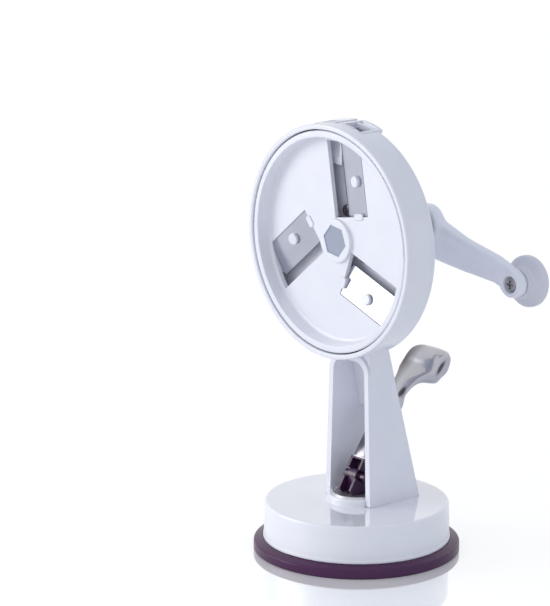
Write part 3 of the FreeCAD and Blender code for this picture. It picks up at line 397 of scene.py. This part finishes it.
def pedestal_body():
    """Pedestal whose legs run straight up into the column, with a web between them at the back."""
    work = closed_copy("pedestal")
    for side in (-1, 1):
        levels = []
        for z, front, rear in LEG_LEVELS:
            rise = (z - DECK_LEVEL) / (CROWN_LEVEL - DECK_LEVEL)
            outer = between(LEG_OUTER, rise) + SKIN
            inner = between(LEG_INNER, rise) - SKIN
            levels.append((z, *sorted((side * inner, side * outer)), front, rear))
        for z, outer in COLUMN_LEVELS:
            ends = sorted((side * COLUMN_INNER, side * outer))
            levels.append((z, *ends, DRUM_REAR + SKIN, COLUMN_REAR))
        work = united(work, loft(levels))
    web = [(z, -half, half, rear - WEB_THICKNESS, rear) for z, half, rear in WEB_LEVELS]
    work = united(work, loft(web))
    return new_piece("pedestal_body", work, WHITE, "base", "pedestal")


BAND_REAR = -3.6
BAND_DEPTH = 2.6
BAND_ROUNDING = 1.2
BAND_SIDES = 192


def drum_band():
    """Rear edge of the drum's wall, which stands a little behind its back plate."""
    inner = DRUM_RADIUS - BAND_DEPTH
    start = DRUM_REAR - BAND_ROUNDING
    profile = [(start, inner), (start, DRUM_RADIUS)]
    for i in range(7):
        angle = math.radians(15 * i)
        profile.append((BAND_REAR - BAND_ROUNDING + BAND_ROUNDING * math.sin(angle),
                        DRUM_RADIUS - BAND_ROUNDING + BAND_ROUNDING * math.cos(angle)))
    profile.append((BAND_REAR, inner))
    work = bmesh.new()
    rings = []
    for k in range(BAND_SIDES):
        turn = 2 * math.pi * k / BAND_SIDES
        rings.append([work.verts.new((r * math.cos(turn) * MM, y * MM,
                                      (SHAFT_LEVEL + r * math.sin(turn)) * MM))
                      for y, r in profile])
    for k in range(BAND_SIDES):
        for i in range(len(profile)):
            work.faces.new((rings[k - 1][i - 1], rings[k - 1][i], rings[k][i], rings[k][i - 1]))
    bmesh.ops.recalc_face_normals(work, faces=work.faces)
    return new_piece("drum_rear_band", work, WHITE, "base")


CRANK_REACH = 55.0
CRANK_DROOP = math.radians(25.9)
CRANK_GRAIN = 0.45
EYE_RADIUS = 7.2
# The whole arm is smoothed a little, and all but its eye a lot.
ALL_ROUNDS, ARM_ROUNDS = 2, 45


def crank_body():
    """Crank arm with the soft hollows and edges of a moulded part."""
    eye_x = CRANK_REACH * math.cos(CRANK_DROOP)
    eye_z = SHAFT_LEVEL - CRANK_REACH * math.sin(CRANK_DROOP)
    eye = Vector((eye_x, 0, eye_z)) * MM

    def modify(item):
        remesh = item.modifiers.new("even", "REMESH")
        remesh.mode = "VOXEL"
        remesh.voxel_size = CRANK_GRAIN * MM

    work = evaluated(closed_copy("crank_arm"), modify)
    arm = [v for v in work.verts
           if math.hypot(v.co.x - eye.x, v.co.z - eye.z) > EYE_RADIUS * MM]
    for part, rounds in ((work.verts, ALL_ROUNDS), (arm, ARM_ROUNDS)):
        for _ in range(rounds):
            bmesh.ops.smooth_vert(work, verts=part, factor=0.5,
                                  use_axis_x=True, use_axis_y=True, use_axis_z=True)
    return new_piece("crank_body", work, WHITE_CRANK, "rotor", "crank_arm")


HEX_START = -13.5
HEX_FORWARD = 2.1


def shaft_body():
    """Drive shaft whose six-sided end stands almost flush in the disc's hub."""
    work = closed_copy("drive_shaft")
    for vert in work.verts:
        if vert.co.y < HEX_START * MM:
            vert.co.y -= HEX_FORWARD * MM
    return new_piece("shaft_body", work, HEX_PAINTED_SHADE, "rotor", "drive_shaft")


# Stakes that hold the blades: where each stands from the shaft, and its head.
BLADE_START, BLADE_STEP = -10, 120
STAKE_ACROSS, STAKE_REACH = 17.5, 28.3
STAKE_RADIUS = 3.6
STAKE_START = -14.7
STAKE_LOWERED = 1.2


def disc_body():
    """Blade disc with its three stakes formed down to low buttons."""
    work = closed_copy("blade_disc")
    for k in range(3):
        turn = math.radians(BLADE_STEP * k + BLADE_START)
        across = Vector((math.cos(turn), 0, -math.sin(turn)))
        reach = Vector((math.sin(turn), 0, math.cos(turn)))
        centre = Vector((0, 0, SHAFT_LEVEL))
        foot = (STAKE_ACROSS * across + STAKE_REACH * reach + centre) * MM
        for vert in work.verts:
            off = vert.co - foot
            near = math.hypot(off.dot(across), off.dot(reach)) < STAKE_RADIUS * MM
            if near and vert.co.y < STAKE_START * MM:
                vert.co.y += STAKE_LOWERED * MM
    return new_piece("disc_body", work, WHITE, "rotor", "blade_disc")


pedestal_body()
drum_band()
shaft_body()
disc_body()
crank_body()

# ---------------------------------------------------------------- floor, light, camera

FLOOR_SIZE = 12
FLOOR_GLOW = 0.18
FLOOR_DARK, FLOOR_LIGHT = (0.92, 0.92, 0.92), (0.94, 0.94, 0.94)
SKY_LIGHT = 0.74
SKY_COLOUR = (0.84, 0.90, 1.0, 1)
KEY_PLACE, KEY_AIM = Vector((-1.05, -1.25, 0.55)), Vector((0, 0, 0.12))
KEY_SIZE = 1.3
KEY_POWER = 12.6
KEY_COLOUR = (1.0, 0.985, 0.95)
CAMERA_LENS = 180.15
CAMERA_PLACE = Vector((1.0654, -0.9811, 0.4836))
CAMERA_AIM = Vector((-0.02698, -0.03102, 0.12566))
CAMERA_ROLL = math.radians(0.15)


def seen_directly(tree):
    """1 for what the camera sees by itself, in a reflection or through something clear."""
    path = tree.nodes.new("ShaderNodeLightPath")
    either = path.outputs["Is Camera Ray"]
    for name in ("Is Glossy Ray", "Is Transmission Ray"):
        either = greatest(tree, either, path.outputs[name])
    return either


floor_mat, tree, shader = new_material("pale_floor")
floor_noise = noise(tree, object_coordinates(tree), 8.0)
tree.links.new(ramp(tree, floor_noise, [(0.3, FLOOR_DARK), (0.7, FLOOR_LIGHT)]),
               shader.inputs["Base Color"])
# The camera sees a lacquered floor. All other rays meet a matt one, which mirrors no lamp onto
# the object.
straight = tree.nodes.new("ShaderNodeLightPath").outputs["Is Camera Ray"]
tree.links.new(remap(tree, straight, 0, 1, 0.7, 0.04), shader.inputs["Roughness"])
tree.links.new(remap(tree, straight, 0, 1, 0.0, 0.4), shader.inputs["Metallic"])
tree.links.new(straight, shader.inputs["Coat Weight"])
shader.inputs["Coat IOR"].default_value = 1.9
shader.inputs["Coat Roughness"].default_value = 0.03
shader.inputs["Emission Color"].default_value = (1, 1, 1, 1)
tree.links.new(remap(tree, seen_directly(tree), 0, 1, 0, FLOOR_GLOW),
               shader.inputs["Emission Strength"])
bpy.ops.mesh.primitive_plane_add(size=FLOOR_SIZE, location=(0, 0, 0))
floor = bpy.context.object
floor.name = "floor"
floor.data.materials.append(floor_mat)

world = bpy.data.worlds.new("studio")
scene.world = world
world.use_nodes = True
tree = world.node_tree
tree.nodes.clear()
lit = tree.nodes.new("ShaderNodeBackground")
lit.inputs["Color"].default_value = SKY_COLOUR
lit.inputs["Strength"].default_value = SKY_LIGHT
seen = tree.nodes.new("ShaderNodeBackground")
seen.inputs["Color"].default_value = (1, 1, 1, 1)
seen.inputs["Strength"].default_value = 1.0
mix = tree.nodes.new("ShaderNodeMixShader")
out = tree.nodes.new("ShaderNodeOutputWorld")
tree.links.new(seen_directly(tree), mix.inputs["Fac"])
tree.links.new(lit.outputs["Background"], mix.inputs[1])
tree.links.new(seen.outputs["Background"], mix.inputs[2])
tree.links.new(mix.outputs["Shader"], out.inputs["Surface"])


def aimed(place, aim):
    """Rotation that points a lamp or camera at place towards aim."""
    return (aim - place).to_track_quat("-Z", "Y")


key = bpy.data.lights.new("key", "AREA")
key.shape = "DISK"
key.size = KEY_SIZE
key.energy = KEY_POWER
key.color = KEY_COLOUR
lamp = bpy.data.objects.new("key", key)
lamp.location = KEY_PLACE
lamp.rotation_euler = aimed(KEY_PLACE, KEY_AIM).to_euler()
scene.collection.objects.link(lamp)

camera_data = bpy.data.cameras.new("camera")
camera_data.sensor_fit = "VERTICAL"
camera_data.sensor_height = 36.0
camera_data.lens = CAMERA_LENS
camera = bpy.data.objects.new("camera", camera_data)
camera.matrix_world = (Matrix.Translation(CAMERA_PLACE)
                       @ aimed(CAMERA_PLACE, CAMERA_AIM).to_matrix().to_4x4()
                       @ Matrix.Rotation(CAMERA_ROLL, 4, "Z"))
scene.collection.objects.link(camera)
scene.camera = camera

scene.view_settings.view_transform = "Standard"
